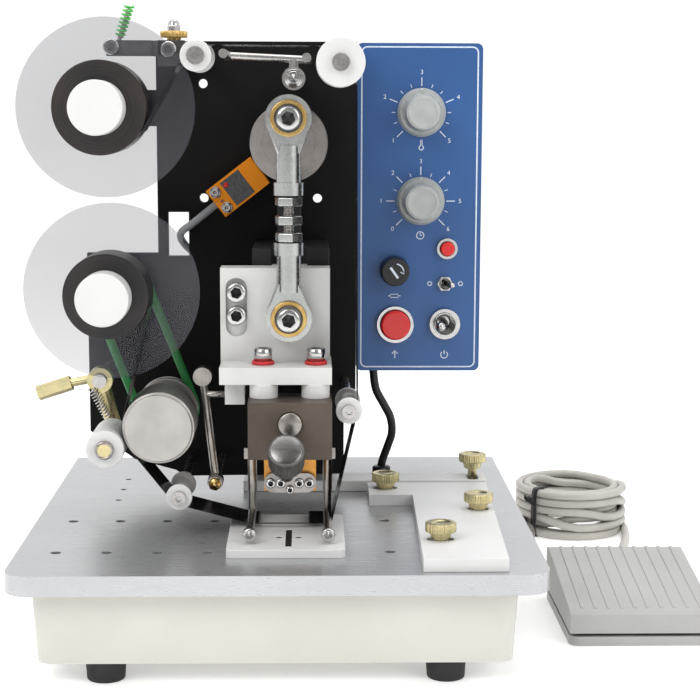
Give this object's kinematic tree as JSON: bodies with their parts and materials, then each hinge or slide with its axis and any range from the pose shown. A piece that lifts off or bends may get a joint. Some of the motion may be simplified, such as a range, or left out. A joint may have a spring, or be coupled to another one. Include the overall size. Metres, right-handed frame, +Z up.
{
  "type": "hot foil stamper",
  "caption": "Bench hot foil coding machine: motor crank presses a heated type block through a foil ribbon onto a pad, with reels, guides, control panel and foot switch.",
  "frame": {"origin": "on the floor plane through the bottoms of the rubber feet, below the middle of the bed plate", "axes": "+X to the operator's right, +Y away from the operator, +Z up"},
  "size_m": [0.3451, 0.333, 0.317],
  "materials": {
    "rubber": "matte moulded rubber",
    "cream_paint": "semi-gloss cream powder coat",
    "circuit": "green lacquered board and dark transformer",
    "bed_metal": "fine brushed, anodised",
    "white_nylon": "machined white nylon",
    "black_paint": "satin black powder coat",
    "cast_grey": "dark grey casting paint",
    "motor_grey": "grey motor enamel",
    "blue_paint": "printed blue panel, semi-gloss",
    "chrome": "bright plated",
    "black_plastic": "moulded black plastic",
    "steel": "turned and ground steel",
    "dark_steel": "heat tinted steel",
    "foil": "glossy dark pigment foil on clear film",
    "green_rubber": "translucent green polyurethane",
    "orange_plastic": "moulded orange plastic with a dark label",
    "cable_black": "black cable sheath",
    "brass": "turned brass",
    "zinc_yellow": "yellow zinc plated, knurled",
    "zinc_steel": "bright zinc plated steel",
    "clear_plastic": "clear acrylic",
    "drum_metal": "fine turned aluminium",
    "knob_grey": "moulded grey knob",
    "red_plastic": "glossy red cap",
    "pedal_plastic": "moulded grey plastic",
    "cord_grey": "grey cord sheath"
  },
  "bodies": {
    "stand": {"feet": "rubber", "base_box": "cream_paint", "electronics": "circuit", "bed_plate": "bed_metal", "pad": "white_nylon", "frame": "black_paint", "guide_housing": "cast_grey", "gear_motor": "motor_grey", "control_box": "blue_paint", "panel": "blue_paint", "bezels": "chrome", "rear_sockets": "black_plastic", "spindles": "steel", "ribbon_rods": "dark_steel", "ribbon": "foil", "belt": "green_rubber", "sensor": "orange_plastic", "harness": "cable_black", "brake_parts": "brass", "brake_spring": "green_rubber", "thumb_screws": "zinc_yellow", "pedal_base": "pedal_plastic", "pedal_cord": "cord_grey", "cord_reel": "cord_grey", "cord_plug": "chrome"},
    "crank": {"crank": "steel"},
    "conrod": {"rod_ends": "zinc_steel", "rod_races": "brass", "rod_hardware": "zinc_steel"},
    "head": {"slider": "white_nylon", "slider_screws": "zinc_steel", "heater_block": "dark_steel"},
    "type_carrier": {"type_holder": "brass", "clamp_plate": "chrome"},
    "clamp_knob": {"clamp_knob": "chrome"},
    "supply_reel": {"supply_disc": "clear_plastic", "supply_roll": "foil", "supply_cap": "white_nylon"},
    "takeup_reel": {"takeup_disc": "clear_plastic", "takeup_roll": "foil", "takeup_cap": "white_nylon"},
    "feed_drum": {"feed_drum": "drum_metal"},
    "pinch_lever": {"pinch_arm": "zinc_steel"},
    "pinch_roller": {"pinch_roller": "white_nylon"},
    "roller_left": {"roller_left": "white_nylon"},
    "roller_right": {"roller_right": "white_nylon"},
    "spool_left": {"spool_left": "white_nylon"},
    "spool_right": {"spool_right": "white_nylon"},
    "tension_lever": {"tension_lever": "zinc_steel"},
    "feed_lever": {"feed_link": "dark_steel"},
    "temperature_knob": {"knob_upper": "knob_grey"},
    "time_knob": {"knob_lower": "knob_grey"},
    "reset_button": {"reset_button": "red_plastic"},
    "stop_button": {"stop_button": "red_plastic"},
    "mode_toggle": {"mode_toggle": "white_nylon"},
    "power_toggle": {"power_toggle": "chrome"},
    "fuse_cap": {"fuse_cap": "black_plastic"},
    "back_guide": {"back_guide": "white_nylon"},
    "side_guide": {"side_guide": "white_nylon"},
    "pedal": {"pedal_tread": "pedal_plastic"}
  },
  "joints": [
    {"name": "crank_turn", "type": "hinge", "parent": "stand", "child": "crank", "pos_m": [0.0042, -0.03, 0.2511], "axis": [0, 1, 0], "range_deg": [0, 180]},
    {"name": "conrod_swing", "type": "hinge", "parent": "crank", "child": "conrod", "pos_m": [0.0042, -0.045, 0.2591], "axis": [0, 1, 0], "range_deg": [-180, 0]},
    {"name": "head_slide", "type": "slide", "parent": "stand", "child": "head", "axis": [0, 0, 1], "range_m": [-0.016, 0]},
    {"name": "type_slide", "type": "slide", "parent": "head", "child": "type_carrier", "axis": [0, -1, 0], "range_m": [0, 0.02]},
    {"name": "clamp_turn", "type": "hinge", "parent": "type_carrier", "child": "clamp_knob", "pos_m": [0.0034, -0.098, 0.107], "axis": [0, -0.788, 0.6157], "range_deg": [-360, 0]},
    {"name": "supply_reel_spin", "type": "hinge", "parent": "stand", "child": "supply_reel", "pos_m": [-0.0857, -0.04, 0.2638], "axis": [0, 1, 0], "continuous": true},
    {"name": "feed_drum_spin", "type": "hinge", "parent": "stand", "child": "feed_drum", "pos_m": [-0.0594, -0.04, 0.1091], "axis": [0, 1, 0], "continuous": true},
    {"name": "roller_left_spin", "type": "hinge", "parent": "stand", "child": "roller_left", "pos_m": [-0.0394, -0.04, 0.2883], "axis": [0, 1, 0], "continuous": true},
    {"name": "roller_right_spin", "type": "hinge", "parent": "stand", "child": "roller_right", "pos_m": [0.0292, -0.04, 0.2855], "axis": [0, 1, 0], "continuous": true},
    {"name": "spool_left_spin", "type": "hinge", "parent": "stand", "child": "spool_left", "pos_m": [-0.0496, -0.04, 0.0749], "axis": [0, 1, 0], "continuous": true},
    {"name": "spool_right_spin", "type": "hinge", "parent": "stand", "child": "spool_right", "pos_m": [0.0336, -0.04, 0.1179], "axis": [0, 1, 0], "continuous": true},
    {"name": "takeup_reel_spin", "type": "hinge", "parent": "stand", "child": "takeup_reel", "pos_m": [-0.0842, -0.04, 0.1734], "axis": [0, 1, 0], "continuous": true},
    {"name": "pinch_lever_swing", "type": "hinge", "parent": "stand", "child": "pinch_lever", "pos_m": [-0.0926, -0.014, 0.126], "axis": [0, 1, 0], "range_deg": [0, 14], "stiffness_Nm_per_rad": 0.8, "springref_deg": -20.05},
    {"name": "pinch_roller_spin", "type": "hinge", "parent": "pinch_lever", "child": "pinch_roller", "pos_m": [-0.0853, -0.04, 0.0992], "axis": [0, 1, 0], "continuous": true},
    {"name": "tension_swing", "type": "hinge", "parent": "stand", "child": "tension_lever", "pos_m": [0.0065, -0.018, 0.2784], "axis": [0, 1, 0], "range_deg": [-4, 2], "stiffness_Nm_per_rad": 0.3},
    {"name": "feed_lever_swing", "type": "hinge", "parent": "stand", "child": "feed_lever", "pos_m": [-0.0332, -0.031, 0.0768], "axis": [0, 1, 0], "range_deg": [-4, 3], "stiffness_Nm_per_rad": 0.2},
    {"name": "temperature_turn", "type": "hinge", "parent": "stand", "child": "temperature_knob", "pos_m": [0.0752, 0.05, 0.2616], "axis": [0, 1, 0], "range_deg": [-135, 135]},
    {"name": "time_turn", "type": "hinge", "parent": "stand", "child": "time_knob", "pos_m": [0.0751, 0.05, 0.2136], "axis": [0, 1, 0], "range_deg": [-135, 135]},
    {"name": "reset_press", "type": "slide", "parent": "stand", "child": "reset_button", "axis": [0, 1, 0], "range_m": [0, 0.0025], "stiffness_N_per_m": 400},
    {"name": "stop_press", "type": "slide", "parent": "stand", "child": "stop_button", "axis": [0, 1, 0], "range_m": [0, 0.004], "stiffness_N_per_m": 400},
    {"name": "mode_throw", "type": "hinge", "parent": "stand", "child": "mode_toggle", "pos_m": [0.089, 0.0545, 0.1683], "axis": [0, 0, 1], "range_deg": [-30, 0]},
    {"name": "power_throw", "type": "hinge", "parent": "stand", "child": "power_toggle", "pos_m": [0.089, 0.0545, 0.146], "axis": [0, 0, 1], "range_deg": [0, 24]},
    {"name": "fuse_turn", "type": "hinge", "parent": "stand", "child": "fuse_cap", "pos_m": [0.0611, 0.05, 0.1754], "axis": [0, 1, 0], "range_deg": [0, 90]},
    {"name": "back_guide_shift", "type": "slide", "parent": "stand", "child": "back_guide", "axis": [0, -1, 0], "range_m": [0, 0.003]},
    {"name": "side_guide_shift", "type": "slide", "parent": "stand", "child": "side_guide", "axis": [1, 0, 0], "range_m": [-0.003, 0.003]},
    {"name": "pedal_press", "type": "hinge", "parent": "stand", "child": "pedal", "pos_m": [0.1795, 0.012, 0.012], "axis": [1, 0, 0], "range_deg": [0, 1], "stiffness_Nm_per_rad": 8, "springref_deg": -3.44}
  ],
  "couplings": [
    {"joint": "conrod_swing", "follows": "crank_turn", "ratio": -1},
    {"joint": "head_slide", "follows": "crank_turn", "m_per_rad": -0.005093},
    {"joint": "takeup_reel_spin", "follows": "feed_drum_spin", "ratio": 1}
  ]
}
